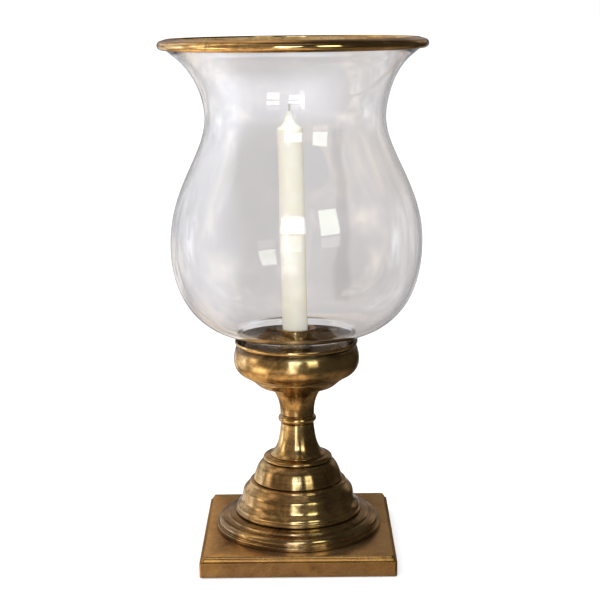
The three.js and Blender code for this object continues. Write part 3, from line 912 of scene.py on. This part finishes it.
# Soft parts of the room that the metal reflects: azimuth and elevation of the middle in degrees
# (azimuth 0 is behind the camera, 90 is to its right), half sizes, softness, colour.
ROOM = (
    ((-80, -40), (92, 13), 9, (0.92, 0.68, 0.42)),
    ((-55, -62), (80, 12), 10, (0.48, 0.33, 0.19)),
    ((0, -45), (180, 17), 12, (0.17, 0.13, 0.09)),
    ((14, -38), (20, 14), 10, (0.22, 0.165, 0.10)),
    ((-110, -13), (48, 9), 6, (0.60, 0.52, 0.42)),
    ((-73, -17), (14, 9), 6, (1.5, 1.22, 0.9)),
    ((-38, -12), (38, 8), 6, (0.62, 0.49, 0.34)),
    ((-92, 28), (11, 34), 8, (1.05, 0.90, 0.70)),
    ((-112, 1), (8, 9), 6, (1.6, 1.65, 1.75)),
    ((-84, 14), (7, 12), 5, (1.1, 0.95, 0.78)),
    ((-132, 14), (24, 32), 10, (0.60, 0.62, 0.66)),
    ((-45, 26), (32, 34), 12, (0.24, 0.19, 0.14)),
    ((-25, 70), (60, 14), 12, (0.34, 0.29, 0.24)),
    ((-10, 8), (3, 22), 2, (2.6, 2.7, 2.75)),
    ((-9, -10), (8, 10), 3, (1.5, 1.55, 1.7)),
    ((14, -4), (8, 9), 7, (0.14, 0.115, 0.075)),
    ((-120, 52), (36, 20), 10, (0.55, 0.39, 0.22)),
    ((-173, 31), (7, 9), 4, (0.65, 0.46, 0.25)),
    ((-168, 15), (55, 11), 8, (0.29, 0.255, 0.255)),
    ((180, -12), (24, 10), 7, (0.36, 0.36, 0.38)),
    ((-163, 13), (14, 9), 6, (0.16, 0.12, 0.09)),
)
ROOM_DARK = (0.03, 0.025, 0.019)

# What shows through the glass: a pale grey backdrop, lighter at the left, with the candle's shadow.
BACKDROP = (
    ((180, -2), (12, 3.6), 2.5, (0.035, 0.04, 0.04)),
    ((188, -2), (4.2, 3.6), 2.5, (0.13, 0.14, 0.155)),
    ((181.6, -3.1), (3.2, 0.9), 1.2, (0.2, 0.215, 0.25)),
    ((188.4, -8), (4.6, 30), 1.1, (0.18, 0.195, 0.225)),
    ((181.9, -6.5), (1.3, 6), 0.9, (-0.055, -0.055, -0.055)),
    ((176.8, -11.5), (2.0, 1.5), 1.5, (-0.07, -0.075, -0.085)),
    ((178.1, -8.8), (0.42, 3.9), 0.2, (-0.11, -0.11, -0.105)),
)
BACKDROP_GREY = (0.75, 0.735, 0.74)


class Sky(Graph):
    """The world's colours, made of soft patches."""

    def __init__(self, world):
        world.use_nodes = True
        super().__init__(world)
        self.way = self.node("ShaderNodeTexCoord").outputs["Generated"]
        self.light_path = self.node("ShaderNodeLightPath").outputs

    def vector(self, operation, *values):
        made = self.node("ShaderNodeVectorMath", dict(enumerate(values)), operation=operation)
        return made.outputs["Vector"]

    def wandering(self):
        """The way looked, led astray a little, so that patches get irregular edges."""
        way = self.way
        for scale, reach in ((2.2, 0.14), (9.0, 0.05)):
            inputs = {"Vector": self.way, "Scale": scale, "Detail": 2.0}
            shift = self.node("ShaderNodeTexNoise", inputs).outputs["Color"]
            shift = self.vector("SUBTRACT", shift, (0.5, 0.5, 0.5))
            way = self.vector("MULTIPLY_ADD", shift, (reach,) * 3, way)
        return self.vector("NORMALIZE", way)

    def angles(self, way):
        """The azimuth and the elevation of a way, in degrees."""
        x, y, z = self.node("ShaderNodeSeparateXYZ", {"Vector": way}).outputs
        azimuth = self.maths("ARCTAN2", x, self.maths("MULTIPLY", y, -1.0))
        return self.maths("DEGREES", azimuth), self.maths("DEGREES", self.maths("ARCSINE", z))

    def within(self, angle, middle, half, soft):
        """1 within half of the middle, falling to 0 over the soft edge."""
        off = self.maths("SUBTRACT", angle, middle)
        off = self.node("ShaderNodeMath", {0: off, 1: 180.0, 2: -180.0}, operation="WRAP")
        off = self.maths("ABSOLUTE", off.outputs[0])
        return self.ramp(off, half + soft, max(0.0, half - soft))

    def patches(self, way, ground, patches):
        """The ground colour with the patches' colours added to it."""
        azimuth, elevation = self.angles(way)
        total = self.node("ShaderNodeCombineXYZ", dict(zip("XYZ", ground))).outputs[0]
        for (turn, rise), (wide, high), soft, colour in patches:
            cover = self.maths("MULTIPLY", self.within(azimuth, turn, wide, soft),
                               self.within(elevation, rise, high, soft))
            total = self.vector("MULTIPLY_ADD", cover, colour, total)
        return total

    def light(self, colour, strength=1.0):
        return self.node("ShaderNodeBackground", {"Color": colour, "Strength": strength}).outputs[0]

    def choose(self, rays, otherwise, light):
        return self.node("ShaderNodeMixShader", {0: rays, 1: otherwise, 2: light}).outputs[0]


DIFFUSE_LIGHT = 0.30


def make_world():
    """White to the eye, a dim cluttered room to the metal and a grey backdrop through the glass.

    The backdrop shows to a ray that comes out of glass and was never mirrored, or that has only
    passed the two surfaces of one wall."""
    world = bpy.data.worlds.new("studio")
    bpy.context.scene.world = world
    sky = Sky(world)
    clutter = sky.noise(5.5, detail=7, roughness=0.62, place=sky.way)
    clutter = sky.ramp(clutter, 0.34, 0.66, 0.45, 1.6)
    shader = sky.light(sky.patches(sky.wandering(), ROOM_DARK, ROOM), clutter)
    shader = sky.choose(sky.light_path["Is Diffuse Ray"], shader, sky.light(WHITE, DIFFUSE_LIGHT))
    never_mirrored = sky.maths("LESS_THAN", sky.light_path["Glossy Depth"], 0.5)
    in_one_wall = sky.maths("LESS_THAN", sky.light_path["Transmission Depth"], 2.5)
    straight = sky.maths("MAXIMUM", never_mirrored, in_one_wall)
    straight = sky.maths("MULTIPLY", sky.light_path["Is Transmission Ray"], straight)
    shader = sky.choose(straight, shader, sky.light(sky.patches(sky.way, BACKDROP_GREY, BACKDROP)))
    shader = sky.choose(sky.light_path["Is Camera Ray"], shader, sky.light(WHITE))
    sky.node("ShaderNodeOutputWorld", {"Surface": shader})


# The windows in front: the azimuths (counted as in ROOM) and the elevations, seen from AIM, that
# each pane fills, its radiance and its colour. Lengths here are in metres.
AIM = Vector((0, 0, 0.2))
WINDOW_DISTANCE = 2.4
WINDOWS = {
    "left_window_upper": ((-14, 8), (16, 28), 6.2, (0.76, 0.88, 1.0)),
    "left_window_lower": ((-14, 4), (2, 14.5), 1.8, (0.86, 0.93, 1.0)),
    "right_window_upper": ((21, 39), (14, 31), 4.8, (0.92, 1.0, 0.86)),
    "right_window_lower": ((21, 39), (4, 12.5), 1.1, (1.0, 0.96, 0.76)),
}


def window(name, azimuths, elevations, radiance, colour):
    (left, right), (low, high) = azimuths, elevations
    middle = math.radians((left + right) / 2)
    bottom, top = (WINDOW_DISTANCE * math.tan(math.radians(e)) for e in (low, high))
    data = bpy.data.lights.new(name, "AREA")
    data.shape = "RECTANGLE"
    data.size = 2 * WINDOW_DISTANCE * math.tan(math.radians(right - left) / 2)
    data.size_y = top - bottom
    data.energy = radiance * math.pi * data.size * data.size_y
    data.color = colour
    light = bpy.data.objects.new(name, data)
    bpy.context.scene.collection.objects.link(light)
    place = WINDOW_DISTANCE * Vector((math.sin(middle), -math.cos(middle), 0))
    place += Vector((0, 0, (bottom + top) / 2))
    turn = Matrix.Rotation(middle, 4, "Z") @ Matrix.Rotation(math.pi / 2, 4, "X")
    light.matrix_world = Matrix.Translation(AIM + place) @ turn


def unmirrored(name, azimuth, elevation, power, spread, colour):
    """Even light from far off for floor and candle, neither mirrored nor seen through the glass."""
    data = bpy.data.lights.new(name, "SUN")
    data.energy = power
    data.angle = math.radians(spread)
    data.color = colour
    light = bpy.data.objects.new(name, data)
    light.visible_glossy = False
    light.visible_transmission = False
    a, e = math.radians(azimuth), math.radians(elevation)
    way = Vector((math.sin(a) * math.cos(e), -math.cos(a) * math.cos(e), math.sin(e)))
    light.rotation_euler = way.to_track_quat("Z", "Y").to_euler()
    bpy.context.scene.collection.objects.link(light)


make_floor()
make_world()
for name, pane in WINDOWS.items():
    window(name, *pane)
unmirrored("overhead", 0, 90, 2.3, 100, (1, 1, 1))
unmirrored("from_the_left", -75, 25, 1.1, 60, (1.0, 0.98, 0.95))

scene = bpy.context.scene
scene.view_settings.view_transform = "Standard"
scene.view_settings.look = "None"
